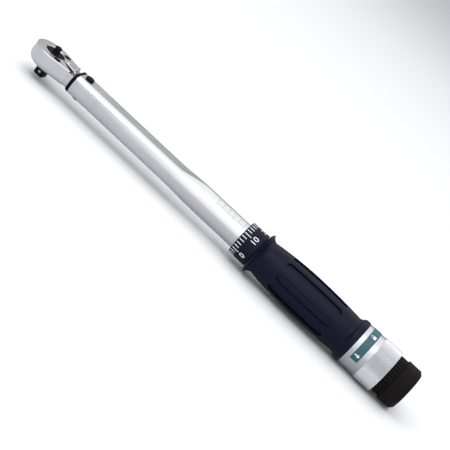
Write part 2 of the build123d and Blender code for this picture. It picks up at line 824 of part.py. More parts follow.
# Locking collar: smooth band, straight knurl and a splined bore
with BuildPart() as collar:
    with BuildSketch(Plane.XZ):
        with BuildLine():
            Polyline(
                (collar_boss_x, rod_turn_r + free_gap),
                (collar_boss_x, sleeve_seat_r - seat_gap),
                (grip_end_x + seat_gap, sleeve_seat_r - seat_gap),
                (grip_end_x + seat_gap, band_r - collar_bevel),
                (grip_end_x + seat_gap + collar_bevel, band_r),
                (knurl_x, band_r),
                (knurl_x, rod_turn_r + free_gap),
                close=True,
            )
        make_face()
    revolve(axis=Axis.X)
    extrude(at_x(knurl_x) * knurl_outline(), amount=knurl_end_x - knurl_x)
    extrude(
        at_x(collar_bore_x) * spline_outline(spline_gap),
        amount=knurl_end_x - collar_bore_x,
        mode=Mode.SUBTRACT,
    )
collar.part.label = "lock_collar"
export_step(collar.part, "parts/lock_collar.step")

# Coloured label around the upper part of the band
with BuildPart() as label:
    with BuildSketch(at_x(label_x - label_w / 2)):
        with BuildLine():
            low, high = radians(label_from), radians(label_to)
            inner = band_r + label_gap
            outer = inner + label_t
            mid = (low + high) / 2
            ThreePointArc(
                (-outer * cos(low), outer * sin(low)),
                (-outer * cos(mid), outer * sin(mid)),
                (-outer * cos(high), outer * sin(high)),
            )
            Line((-outer * cos(high), outer * sin(high)), (-inner * cos(high), inner * sin(high)))
            ThreePointArc(
                (-inner * cos(high), inner * sin(high)),
                (-inner * cos(mid), inner * sin(mid)),
                (-inner * cos(low), inner * sin(low)),
            )
            Line((-inner * cos(low), inner * sin(low)), (-outer * cos(low), outer * sin(low)))
        make_face()
    extrude(amount=label_w)
label.part.label = "lock_label"
export_step(label.part, "parts/lock_label.step")

# Lock knob: splined neck in the collar, cap, groove of the detent ring
with BuildPart() as knob:
    with BuildSketch(Plane.XZ):
        with BuildLine():
            Polyline(
                (cap_x, 0),
                (cap_x, cap_r - cap_front_chamfer),
                (cap_x + cap_front_chamfer, cap_r),
                (cap_end_x - cap_rear_chamfer, cap_r),
                (cap_end_x, cap_r - cap_rear_chamfer),
                (cap_end_x, 0),
                close=True,
            )
        make_face()
    revolve(axis=Axis.X)
    extrude(at_x(knob_neck_x) * spline_outline(), amount=cap_x - knob_neck_x)
    with BuildSketch(at_x(ring_x)):
        Circle(knob_neck_r + cut_over)
        Circle(ring_groove_r, mode=Mode.SUBTRACT)
    extrude(amount=ring_w, mode=Mode.SUBTRACT)
    with BuildSketch(at_x(knob_neck_x)):
        Circle(lock_rod_r + seat_gap)
    extrude(amount=lock_rod_end_x + seat_gap - knob_neck_x, mode=Mode.SUBTRACT)
    with BuildSketch(pin_plane):
        Circle(knob_pin_r + seat_gap)
    extrude(amount=cap_r, mode=Mode.SUBTRACT)
knob.part.label = "lock_knob"
export_step(knob.part, "parts/lock_knob.step")

# Lock rod: its hexagon enters the spring seat when the knob is pushed in
with BuildPart() as rod:
    with BuildSketch(at_x(lock_rod_x)):
        Circle(lock_rod_r)
    extrude(amount=lock_rod_end_x - lock_rod_x)
    with BuildSketch(at_x(lock_hex_x)):
        RegularPolygon(rod_af / 2, 6, major_radius=False)
    extrude(amount=lock_hex_len)
    with BuildSketch(pin_plane):
        Circle(knob_pin_r + seat_gap)
    extrude(amount=cap_r, mode=Mode.SUBTRACT)
rod.part.label = "lock_rod"
export_step(rod.part, "parts/lock_rod.step")

# Pin that holds the knob on its rod
with BuildPart() as knob_pin:
    with BuildSketch(pin_plane):
        Circle(knob_pin_r)
    extrude(amount=cap_r - knob_pin_sink)
    chamfer(knob_pin.edges().filter_by(GeomType.CIRCLE), knob_pin_bevel)
knob_pin.part.label = "knob_pin"
export_step(knob_pin.part, "parts/knob_pin.step")

# Spring ring in the neck's groove
with BuildPart() as ring:
    with BuildSketch(Plane.XZ):
        with BuildLine():
            Polyline(
                (ring_x + seat_gap, ring_groove_r + seat_gap),
                (ring_x + seat_gap, ring_r),
                (ring_x + ring_w - seat_gap, ring_r),
                (ring_x + ring_w - seat_gap, ring_groove_r + seat_gap),
                close=True,
            )
        make_face()
    revolve(axis=Axis.X, revolution_arc=ring_arc)
ring.part.label = "detent_ring"
export_step(ring.part, "parts/detent_ring.step")
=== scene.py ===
"""Looks of a click torque wrench: finishes, printed scales and a plain studio.

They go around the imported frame, whose nodes stay as they are. All lengths are metres in the
frame's own axes: X runs along the tube from head to handle, Z up the drive's axis. Angles around
the tube are measured from the camera side (-Y) upwards.
"""

from __future__ import annotations

import json
import logging
import math
from dataclasses import dataclass, field, replace
from enum import Enum
from functools import reduce
from operator import mul
from typing import Any, Iterable, Sequence

import bmesh
import bpy
import numpy as np
from mathutils import Matrix, Vector


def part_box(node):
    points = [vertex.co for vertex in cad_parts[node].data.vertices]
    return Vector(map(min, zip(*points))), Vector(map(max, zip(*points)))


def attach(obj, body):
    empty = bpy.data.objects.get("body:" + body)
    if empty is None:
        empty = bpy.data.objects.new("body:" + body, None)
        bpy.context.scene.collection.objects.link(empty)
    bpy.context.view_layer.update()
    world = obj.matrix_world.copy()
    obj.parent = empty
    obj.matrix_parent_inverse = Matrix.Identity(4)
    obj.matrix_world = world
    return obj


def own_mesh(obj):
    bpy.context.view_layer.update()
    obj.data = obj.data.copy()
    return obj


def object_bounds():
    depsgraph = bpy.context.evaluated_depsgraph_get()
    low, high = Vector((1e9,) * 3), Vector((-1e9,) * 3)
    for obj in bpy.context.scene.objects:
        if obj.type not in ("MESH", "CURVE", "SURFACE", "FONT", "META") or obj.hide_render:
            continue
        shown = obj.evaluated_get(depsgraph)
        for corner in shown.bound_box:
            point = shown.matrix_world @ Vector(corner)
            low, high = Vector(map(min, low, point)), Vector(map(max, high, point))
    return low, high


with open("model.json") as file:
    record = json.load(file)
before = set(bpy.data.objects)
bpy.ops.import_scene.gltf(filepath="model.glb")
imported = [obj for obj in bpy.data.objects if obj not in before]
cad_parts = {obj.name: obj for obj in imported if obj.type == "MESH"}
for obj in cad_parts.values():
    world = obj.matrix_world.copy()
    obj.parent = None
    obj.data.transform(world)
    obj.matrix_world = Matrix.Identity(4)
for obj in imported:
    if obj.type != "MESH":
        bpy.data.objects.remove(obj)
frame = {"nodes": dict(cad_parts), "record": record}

CAD_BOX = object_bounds()
MM = 0.001
# How deep printed ink reaches inwards, so that it has no gap under it.
INK_DEPTH = 0.08 * MM
# Flat print is cut along these lines before it is wrapped. The widest print is under 8 mm.
CUT_PLACES = np.arange(-4.0, 4.01, 0.4) * MM
CUT_TOLERANCE = 1.0e-7
# A digit's height as a share of the font's size.
DIGIT_SHARE = 0.72
TEXT_RESOLUTION = 4
log = logging.getLogger("torque_wrench")

Colour = tuple[float, float, float]
Loop = Sequence[tuple[float, float]]


class Noise(Enum):
    """Stretch of a pattern's Object coordinates, for the way the surface was worked."""

    AROUND_TUBE = (1500.0, 60.0, 60.0)
    EVEN = (400.0, 400.0, 400.0)


class Value:
    """A node socket that takes part in arithmetic: each operator adds one Math node."""

    def __init__(self, graph: "Graph", socket: bpy.types.NodeSocket) -> None:
        """Wrap a socket.

        Args:
            graph: the graph that the socket is in.
            socket: the output socket.
        """
        self.graph = graph
        self.socket = socket

    def _math(self, operation: str, first: Any, second: Any) -> "Value":
        """One Math node.

        Args:
            operation: Blender's name of the operation.
            first: the first operand.
            second: the second operand.

        Returns:
            The node's result.
        """
        return self.graph.node("ShaderNodeMath", {"operation": operation}, {0: first, 1: second})

    def __add__(self, other: Any) -> "Value":
        """Sum."""
        return self._math("ADD", self, other)

    __radd__ = __add__

    def __sub__(self, other: Any) -> "Value":
        """Difference."""
        return self._math("SUBTRACT", self, other)

    def __rsub__(self, other: Any) -> "Value":
        """Difference from a number."""
        return self._math("SUBTRACT", other, self)

    def __mul__(self, other: Any) -> "Value":
        """Product."""
        return self._math("MULTIPLY", self, other)

    __rmul__ = __mul__


class Graph:
    """Node tree of one material or world, filled through a single node method."""

    # A Mix node has several sockets of one name, so its colour sockets go by number.
    MIX_SHARE, MIX_LOW, MIX_HIGH, MIX_RESULT = 0, 6, 7, 2

    def __init__(self, owner: bpy.types.Material | bpy.types.World) -> None:
        """Start an empty tree.

        Args:
            owner: the material or world.
        """
        owner.use_nodes = True
        self.owner = owner
        self.tree = owner.node_tree
        self.tree.nodes.clear()

    @classmethod
    def material(cls, name: str) -> "Graph":
        """Graph of a new material.

        Args:
            name: the material's name.

        Returns:
            The empty graph.
        """
        return cls(bpy.data.materials.new(name))

    def node(
        self, kind: str, settings: dict[str, Any], values: dict[Any, Any], output: Any = 0
    ) -> Value:
        """Add a node.

        Args:
            kind: Blender's node type.
            settings: properties, which are set before the sockets.
            values: input sockets by name or number, as numbers, colours or links.
            output: the output socket wanted.

        Returns:
            The wrapped output socket.
        """
        made = self.tree.nodes.new(kind)
        for key, value in settings.items():
            setattr(made, key, value)
        for key, value in values.items():
            if isinstance(value, Value):
                self.tree.links.new(value.socket, made.inputs[key])
            else:
                made.inputs[key].default_value = value
        return Value(self, made.outputs[output])

    def place(self) -> Value:
        """Object coordinates, which stay with the piece."""
        return self.node("ShaderNodeTexCoord", {}, {}, "Object")

    def noise(self, stretch: Noise, scale: float, detail: float = 3.0) -> Value:
        """Noise on stretched Object coordinates.

        Args:
            stretch: how the grain runs.
            scale: a factor on the stretch.
            detail: the noise's octaves.

        Returns:
            The noise, around 0.5.
        """
        mapped = self.node(
            "ShaderNodeMapping",
            {},
            {"Vector": self.place(), "Scale": tuple(scale * s for s in stretch.value)},
        )
        return self.node(
            "ShaderNodeTexNoise",
            {},
            {"Vector": mapped, "Scale": 1.0, "Detail": detail, "Roughness": 0.6},
        )

    def fade(
        self, value: Value, start: float, end: float, low: float = 0.0, high: float = 1.0
    ) -> Value:
        """Result that runs evenly from low to high as a value goes from start to end.

        Args:
            value: the value.
            start: where the result leaves low.
            end: where it reaches high.
            low: the result before start.
            high: the result after end.

        Returns:
            The result.
        """
        stops = {"From Min": start, "From Max": end, "To Min": low, "To Max": high}
        return self.node("ShaderNodeMapRange", {"clamp": True}, {"Value": value, **stops})

    def inside(self, near: Sequence[float], far: Sequence[float], soft: float) -> Value:
        """Share that is 1 inside a box of the part's space and 0 outside it.

        Args:
            near: the box's low corner.
            far: the box's high corner.
            soft: half the width of the blend at each side.

        Returns:
            The product of the shares along the three axes.
        """
        shares = []
        for axis, low, high in zip("XYZ", near, far):
            along = self.node("ShaderNodeSeparateXYZ", {}, {0: self.place()}, axis)
            shares.append(self.fade(along, low - soft, low + soft))
            shares.append(self.fade(along, high - soft, high + soft, 1.0, 0.0))
        return reduce(mul, shares)

    def colour(self, share: Value, low: Value | Colour, high: Value | Colour) -> Value:
        """Blend two colours.

        Args:
            share: 0 gives the low colour, 1 the high one.
            low: colour at 0.
            high: colour at 1.

        Returns:
            The blended colour.
        """
        low, high = (c if isinstance(c, Value) else (*c, 1.0) for c in (low, high))
        return self.node(
            "ShaderNodeMix",
            {"data_type": "RGBA"},
            {self.MIX_SHARE: share, self.MIX_LOW: low, self.MIX_HIGH: high},
            self.MIX_RESULT,
        )

    def bump(self, height: Value, depth: float) -> Value:
        """Bump from a height.

        Args:
            height: the height, 0 to 1.
            depth: the height's full size in metres.

        Returns:
            The bent normal.
        """
        return self.node(
            "ShaderNodeBump", {}, {"Height": height, "Distance": depth, "Strength": 1.0}
        )

    def surface(self, values: dict[str, Any]) -> bpy.types.Material:
        """Finish the material.

        Args:
            values: the Principled shader's sockets.

        Returns:
            The material.
        """
        shader = self.node("ShaderNodeBsdfPrincipled", {}, values)
        self.end("ShaderNodeOutputMaterial", shader)
        return self.owner

    def end(self, kind: str, shader: Value) -> None:
        """Link a shader to the tree's output.

        Args:
            kind: Blender's type of the output node.
            shader: the shader.
        """
        output = self.tree.nodes.new(kind)
        self.tree.links.new(shader.socket, output.inputs["Surface"])


@dataclass(frozen=True)
class Metal:
    """A worked metal, or a black coat on one.

    Colour runs from low to high with a cloud, roughness varies by spread with the grain and by
    cloud_spread with the cloud, and depth is the grain's height. Inside the recess box the
    finish is a painted shade: a near-black, non-metal colour where shade falls in the recess.
    """

    name: str
    low: Colour
    high: Colour
    roughness: float
    grain: Noise = Noise.EVEN
    grain_scale: float = 1.0
    spread: float = 0.12
    depth: float = 1.0e-6
    metallic: float = 1.0
    shine: float = 0.5
    # Painted shade: inside this box of the part's space the colour turns near black, where shade
    # falls in a recess.
    recess: tuple[Colour, Colour] | None = None
    recess_colour: Colour = (0.012, 0.013, 0.02)
    recess_soft: float = 0.03 * MM
    cloud_scale: float = 0.12
    cloud_spread: float = 0.1

    def material(self) -> bpy.types.Material:
        """Build the finish.

        Returns:
            The material.
        """
        graph = Graph.material(self.name)
        grain = graph.noise(self.grain, self.grain_scale)
        cloud = graph.noise(Noise.EVEN, self.cloud_scale, 2.0)
        tone = self.spread * (grain - 0.5) + self.cloud_spread * (cloud - 0.5)
        colour = graph.colour(cloud, self.low, self.high)
        metallic = self.metallic
        # Painted shade in the recess box: the colour goes near black and the finish stops being
        # metal.
        if self.recess:
            painted_shade = graph.inside(*self.recess, self.recess_soft)
            colour = graph.colour(painted_shade, colour, self.recess_colour)
            metallic = (1.0 - painted_shade) * self.metallic
        return graph.surface(
            {
                "Base Color": colour,
                "Metallic": metallic,
                "Specular IOR Level": self.shine,
                "Roughness": self.roughness + tone,
                "Normal": graph.bump(grain, self.depth),
            }
        )


@dataclass(frozen=True)
class Moulded:
    """Moulded rubber or plastic with a fine sparked skin, whose height is depth."""

    name: str
    low: Colour
    high: Colour
    roughness: float
    skin_scale: float = 6.0
    depth: float = 6.0e-6
    shine: float = 0.5
    skin_spread: float = 0.15
    cloud_scale: float = 0.1
    cloud_spread: float = 0.12

    def material(self) -> bpy.types.Material:
        """Build the finish: the skin's grain is fine, even and a little shiny on its tips.

        Returns:
            The material.
        """
        graph = Graph.material(self.name)
        skin = graph.noise(Noise.EVEN, self.skin_scale, 2.0)
        cloud = graph.noise(Noise.EVEN, self.cloud_scale, 2.0)
        tone = self.skin_spread * (skin - 0.5) + self.cloud_spread * (cloud - 0.5)
        return graph.surface(
            {
                "Base Color": graph.colour(cloud, self.low, self.high),
                "Roughness": self.roughness + tone,
                "Specular IOR Level": self.shine,
                "Normal": graph.bump(skin, self.depth),
            }
        )


@dataclass(frozen=True)
class Ink:
    """Screen-printed ink, flat and slightly worn."""

    name: str
    colour: Colour
    roughness: float = 0.5
    worn: float = 0.86
    cloud_scale: float = 0.8
    cloud_spread: float = 0.1

    def material(self) -> bpy.types.Material:
        """Build the finish: a few percent of tone follow a cloud.

        Returns:
            The material.
        """
        graph = Graph.material(self.name)
        cloud = graph.noise(Noise.EVEN, self.cloud_scale, 2.0)
        worn = tuple(self.worn * c for c in self.colour)
        return graph.surface(
            {
                "Base Color": graph.colour(cloud, worn, self.colour),
                "Roughness": self.roughness + self.cloud_spread * (cloud - 0.5),
            }
        )


class Shape:
    """Mesh pieces made from numpy arrays."""

    @staticmethod
    def patches(grid: np.ndarray) -> tuple[np.ndarray, np.ndarray]:
        """Faces of many separate grids at once.

        Args:
            grid: points as (piece, row, column, 3).

        Returns:
            Vertices (n, 3) and quads (m, 4), facing along rows x columns; quad (i, j) joins rows
            i, i+1 and columns j, j+1.
        """
        count, rows, columns, _ = grid.shape
        number = np.arange(count * rows * columns).reshape(count, rows, columns)
        quads = np.stack(
            [number[:, :-1, :-1], number[:, 1:, :-1], number[:, 1:, 1:], number[:, :-1, 1:]],
            axis=-1,
        )
        return grid.reshape(-1, 3), quads.reshape(-1, 4)

    @staticmethod
    def mesh(name: str, grid: np.ndarray) -> bpy.types.Mesh:
        """A mesh of separate grids.

        Args:
            name: the mesh's name.
            grid: points as (piece, row, column, 3) in metres.

        Returns:
            The mesh.
        """
        points, quads = Shape.patches(grid)
        mesh = bpy.data.meshes.new(name)
        mesh.from_pydata(points.tolist(), [], quads.tolist())
        return mesh

    @staticmethod
    def piece(
        name: str,
        mesh: bpy.types.Mesh,
        material: bpy.types.Material,
        thickness: float = 0.0,
        smooth: bool = False,
    ) -> bpy.types.Object:
        """Make an object at the origin.

        Args:
            name: the piece's name.
            mesh: its mesh, already in place.
            material: its finish.
            thickness: a Solidify thickness inwards, or 0.
            smooth: whether its faces are shaded smooth.

        Returns:
            The object.
        """
        if smooth:
            mesh.polygons.foreach_set("use_smooth", [True] * len(mesh.polygons))
        mesh.materials.append(material)
        made = bpy.data.objects.new(name, mesh)
        bpy.context.scene.collection.objects.link(made)
        if thickness:
            wall = made.modifiers.new("wall", "SOLIDIFY")
            wall.thickness = thickness
            wall.offset = -1.0
        log.info("made %s with %d faces", name, len(mesh.polygons))
        return made

    @staticmethod
    def joined(
        name: str,
        meshes: Iterable[bpy.types.Mesh],
        material: bpy.types.Material,
        thickness: float = INK_DEPTH,
    ) -> bpy.types.Object:
        """Join printed meshes into one object at the origin.

        Args:
            name: the piece's name.
            meshes: the meshes, already in place.
            material: their finish.
            thickness: how deep the ink reaches inwards.

        Returns:
            The object.
        """
        whole = bmesh.new()
        for mesh in meshes:
            whole.from_mesh(mesh)
        mesh = bpy.data.meshes.new(name)
        whole.to_mesh(mesh)
        whole.free()
        return Shape.piece(name, mesh, material, thickness)


@dataclass
class Drum:
    """A turned surface around the tube's axis whose radius changes evenly along X."""

    x_low: float
    x_high: float
    r_low: float
    r_high: float

    def wrap(self, x: np.ndarray, turn: np.ndarray, lift: float) -> np.ndarray:
        """Place points on the drum: (x, -(r + lift) cos a, (r + lift) sin a), r linear in x.

        Args:
            x: places along the axis.
            turn: angles in radians, from the camera side upwards.
            lift: height above the surface.

        Returns:
            Points (..., 3).
        """
        share = (x - self.x_low) / (self.x_high - self.x_low)
        radius = self.r_low + (self.r_high - self.r_low) * share + lift
        return np.stack([x, -radius * np.cos(turn), radius * np.sin(turn)], axis=-1)

    def bars(
        self, start: np.ndarray, end: np.ndarray, turn: np.ndarray, width: float, lift: float
    ) -> np.ndarray:
        """Bars along the axis.

        Args:
            start: where each bar starts.
            end: where it ends.
            turn: each bar's angle in radians.
            width: width around the drum.
            lift: height above the surface.

        Returns:
            A grid (bar, row, column, 3) for Shape.mesh.
        """
        along = start[:, None] + (end - start)[:, None] * np.linspace(0, 1, 3)[None, :]
        half = width / 2 / max(self.r_low, self.r_high)
        across = turn[:, None] + half * np.linspace(-1, 1, 3)[None, :]
        x = np.repeat(along[:, :, None], 3, axis=2)
        a = np.repeat(across[:, None, :], 3, axis=1)
        return self.wrap(x, a, lift)

    def lay(self, flat: bpy.types.Object, x: float, turn: float, lift: float) -> bpy.types.Mesh:
        """Wrap a flat text or outline, its top towards the head.

        Args:
            flat: the text or filled curve in its XY plane, which is used up.
            x: the line through its middle.
            turn: the angle of its middle in radians.
            lift: height above the surface.

        Returns:
            The mesh, wrapped by x = x0 - v, a = a0 + u / r for the flat shape's (u, v).
        """
        bpy.context.scene.collection.objects.link(flat)
        bpy.context.view_layer.update()
        mesh = bpy.data.meshes.new_from_object(flat)
        bpy.data.objects.remove(flat)
        cut = bmesh.new()
        cut.from_mesh(mesh)
        for place in CUT_PLACES:
            bmesh.ops.bisect_plane(
                cut,
                geom=cut.verts[:] + cut.edges[:] + cut.faces[:],
                plane_co=(place, 0, 0),
                plane_no=(1, 0, 0),
                dist=CUT_TOLERANCE,
            )
        cut.to_mesh(mesh)
        cut.free()
        points = np.zeros(len(mesh.vertices) * 3)
        mesh.vertices.foreach_get("co", points)
        points = points.reshape(-1, 3)
        radius = (self.r_low + self.r_high) / 2
        middle = (points[:, 1].min() + points[:, 1].max()) / 2
        wrapped = self.wrap(x - (points[:, 1] - middle), turn + points[:, 0] / radius, lift)
        mesh.vertices.foreach_set("co", wrapped.ravel())
        mesh.update()
        return mesh


def flat_text(name: str, words: str, height: float) -> bpy.types.Object:
    """Plain digits in the XY plane.

    Args:
        name: the object's name.
        words: the digits.
        height: their height in metres.

    Returns:
        The text.
    """
    curve = bpy.data.curves.new(name, "FONT")
    curve.body = words
    curve.size = height / DIGIT_SHARE
    curve.align_x = "CENTER"
    curve.resolution_u = TEXT_RESOLUTION
    return bpy.data.objects.new(name, curve)


def flat_outline(name: str, loop: Loop) -> bpy.types.Object:
    """Filled outline in the XY plane.

    Args:
        name: the object's name.
        loop: a closed loop of (u, v) in millimetres.

    Returns:
        The curve.
    """
    curve = bpy.data.curves.new(name, "CURVE")
    curve.dimensions = "2D"
    curve.fill_mode = "FRONT"
    spline = curve.splines.new("POLY")
    spline.points.add(len(loop) - 1)
    flat = np.array([(u * MM, v * MM, 0.0, 1.0) for u, v in loop])
    spline.points.foreach_set("co", flat.ravel())
    spline.use_cyclic_u = True
    return bpy.data.objects.new(name, curve)


def arc(radius: float, low: float, high: float, v: float, count: int = 9) -> Loop:
    """Points (r cos a, v + r sin a) on an arc.

    Args:
        radius: the arc's radius.
        low: the first angle in degrees.
        high: the last angle in degrees.
        v: height of its centre.
        count: how many points.

    Returns:
        The points.
    """
    turns = np.radians(np.linspace(low, high, count))
    return [(radius * math.cos(t), v + radius * math.sin(t)) for t in turns]


@dataclass
class ThimbleScale:
    """Printed divisions and numbers around the thimble.

    The two radii and the length are the thimble's own, as in the CAD.
    """

    divisions: int = 30
    per_number: int = 5
    step: int = 10
    first_turn: float = math.radians(-22.5)
    tick_len: float = 3.9 * MM
    long_len: float = 5.2 * MM
    tick_w: float = 0.5 * MM
    number_h: float = 3.6 * MM
    number_x: float = 7.8 * MM
    edge: float = 0.55 * MM
    lift: float = 0.04 * MM
    front_r: float = 10.7 * MM
    rear_r: float = 10.95 * MM
    length: float = 11.7 * MM

    def build(self, ink: bpy.types.Material) -> list[bpy.types.Object]:
        """Print the scale.

        Args:
            ink: the ink's finish.

        Returns:
            The divisions and the numbers.
        """
        low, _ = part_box("thimble")
        drum = Drum(low.x, low.x + self.length, self.front_r, self.rear_r)
        count = np.arange(self.divisions)
        turn = self.first_turn + 2 * math.pi * count / self.divisions
        start = np.full(self.divisions, low.x + self.edge)
        reach = np.where(count % self.per_number == 0, self.long_len, self.tick_len)
        bars = drum.bars(start, start + reach - self.edge, turn, self.tick_w, self.lift)
        name = "thimble_divisions"
        ticks = Shape.piece(name, Shape.mesh(name, bars), ink, INK_DEPTH, smooth=True)
        numbers = []
        for i, at in enumerate(turn[:: self.per_number]):
            words = flat_text(f"number_{i}", str(i * self.step), self.number_h)
            numbers.append(drum.lay(words, low.x + self.number_x, at, self.lift))
        figures = Shape.joined("thimble_numbers", numbers, ink)
        for made in (ticks, figures):
            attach(made, "handle")
        return [ticks, figures]


@dataclass
class TubeScale:
    """Faint printed divisions along the tube that the thimble's edge passes."""

    turn: float = math.radians(52.0)
    first_x: float = 146.0 * MM
    pitch: float = 4.0 * MM
    count: int = 6
    line_w: float = 0.22 * MM
    tick_half: float = math.radians(11.0)
    number_turn: float = math.radians(72.9)
    number_h: float = 1.9 * MM
    lift: float = 0.03 * MM

    def build(self, ink: bpy.types.Material) -> list[bpy.types.Object]:
        """Print the line, its ticks and its numbers.

        Args:
            ink: the ink's finish.

        Returns:
            The lines and the numbers.
        """
        low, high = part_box("tube")
        radius = (high.z - low.z) / 2
        drum = Drum(low.x, high.x, radius, radius)
        places = self.first_x - self.pitch * np.arange(self.count)
        ends = (places[-1:], places[:1])
        along = drum.bars(*ends, np.array([self.turn]), self.line_w, self.lift)
        x = places[:, None, None] + self.line_w / 2 * np.linspace(-1, 1, 3)[None, :, None]
        across = self.turn + self.tick_half * np.linspace(-1, 1, 9)[None, None, :]
        cross = drum.wrap(*np.broadcast_arrays(x, across), self.lift)
        meshes = [Shape.mesh("scale_line", along), Shape.mesh("scale_ticks", cross)]
        lines = Shape.joined("tube_scale", meshes, ink)
        numbers = []
        for i, place in enumerate(places):
            words = flat_text(f"mark_{i}", str(i), self.number_h)
            numbers.append(drum.lay(words, place, self.number_turn, self.lift))
        figures = Shape.joined("tube_numbers", numbers, ink)
        for made in (lines, figures):
            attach(made, "frame")
        return [lines, figures]


@dataclass
class LabelPrint:
    """Arrow and padlock on the coloured label of the collar, drawn in millimetres."""

    arrow_turn: float = math.radians(2.0)
    lock_turn: float = math.radians(62.0)
    lift: float = 0.015 * MM
    ink_depth: float = 0.03 * MM
    arrow: Loop = (
        (-0.35, 1.7),
        (-0.35, -0.3),
        (-1.1, -0.3),
        (0, -1.7),
        (1.1, -0.3),
        (0.35, -0.3),
        (0.35, 1.7),
    )
    padlock: Loop = (
        (-1.1, -1.6),
        (1.1, -1.6),
        (1.1, 0.1),
        (0.8, 0.1),
        *arc(0.8, 0, 180, 0.75),
        (-0.8, 0.45),
        (-0.5, 0.45),
        *arc(0.5, 180, 0, 0.75),
        (0.5, 0.1),
        (-1.1, 0.1),
    )

    def build(self, ink: bpy.types.Material) -> bpy.types.Object:
        """Print both signs.

        Args:
            ink: the ink's finish.

        Returns:
            The signs as one piece.
        """
        low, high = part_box("lock_label")
        radius = high.z
        drum = Drum(low.x, high.x, radius, radius)
        middle = (low.x + high.x) / 2
        meshes = [
            drum.lay(flat_outline("arrow", self.arrow), middle, self.arrow_turn, self.lift),
            drum.lay(flat_outline("padlock", self.padlock), middle, self.lock_turn, self.lift),
        ]
        made = Shape.joined("label_signs", meshes, ink, self.ink_depth)
        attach(made, "handle")
        return made


@dataclass(frozen=True)
class Coil:
    """A spring beside a joint, given a mesh of its own; its length does not follow the joint."""

    node: str
    joint: str
    axis: tuple[float, float, float]
    stroke: float
    holds_high_end: bool = False

    def build(self) -> None:
        """Give the spring a mesh of its own."""
        low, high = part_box(self.node)
        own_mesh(frame["nodes"][self.node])
        log.info("%s shortens with %s", self.node, self.joint)


@dataclass
class Camera:
    """The photograph's view: a long lens, rolled so that the tube runs down to the right.

    It stands at distance from foot_x on the tube's axis and looks at a point below aim_x.
    """

    foot_x: float = 197.6 * MM
    distance: float = 723.0 * MM
    elevation: float = math.radians(20.0)
    aim_x: float = 136.9 * MM
    aim_drop: float = 1.5 * MM
    roll: float = math.radians(43.14)
    focal_px: float = 1300.0
    image_px: float = 450.0
    sensor: float = 36.0
    clip_start: float = 0.01

    def build(self) -> bpy.types.Object:
        """Place the camera.

        Returns:
            The camera, which is made the scene's own.
        """
        back = Vector((0, -math.cos(self.elevation), math.sin(self.elevation)))
        place = Vector((self.foot_x, 0, 0)) + self.distance * back
        down = Vector((0, -math.sin(self.elevation), -math.cos(self.elevation)))
        aim = Vector((self.aim_x, 0, 0)) + self.aim_drop * down
        forward = (aim - place).normalized()
        level = forward.cross(-down).normalized()
        raised = level.cross(forward)
        right = math.cos(self.roll) * level + math.sin(self.roll) * raised
        up = -math.sin(self.roll) * level + math.cos(self.roll) * raised
        turned = Matrix((right, up, -forward)).transposed().to_4x4()
        data = bpy.data.cameras.new("camera")
        data.sensor_fit = "HORIZONTAL"
        data.sensor_width = self.sensor
        data.lens = self.sensor * self.focal_px / self.image_px
        data.clip_start = self.clip_start
        made = bpy.data.objects.new("camera", data)
        made.matrix_world = Matrix.Translation(place) @ turned
        bpy.context.scene.collection.objects.link(made)
        bpy.context.scene.camera = made
        return made


@dataclass
class Lamp:
    """One soft area lamp that looks at a point of the tube."""

    name: str
    place: tuple[float, float, float]
    size: tuple[float, float]
    watts: float
    aim: tuple[float, float, float] = (0.13, 0.0, 0.0)

    def build(self) -> bpy.types.Object:
        """Place the lamp.

        Returns:
            The lamp.
        """
        data = bpy.data.lights.new(self.name, "AREA")
        data.shape = "RECTANGLE"
        data.size, data.size_y = self.size
        data.energy = self.watts
        made = bpy.data.objects.new(self.name, data)
        toward = Vector(self.aim) - Vector(self.place)
        turned = toward.to_track_quat("-Z", "X").to_matrix().to_4x4()
        made.matrix_world = Matrix.Translation(self.place) @ turned
        bpy.context.scene.collection.objects.link(made)
        return made


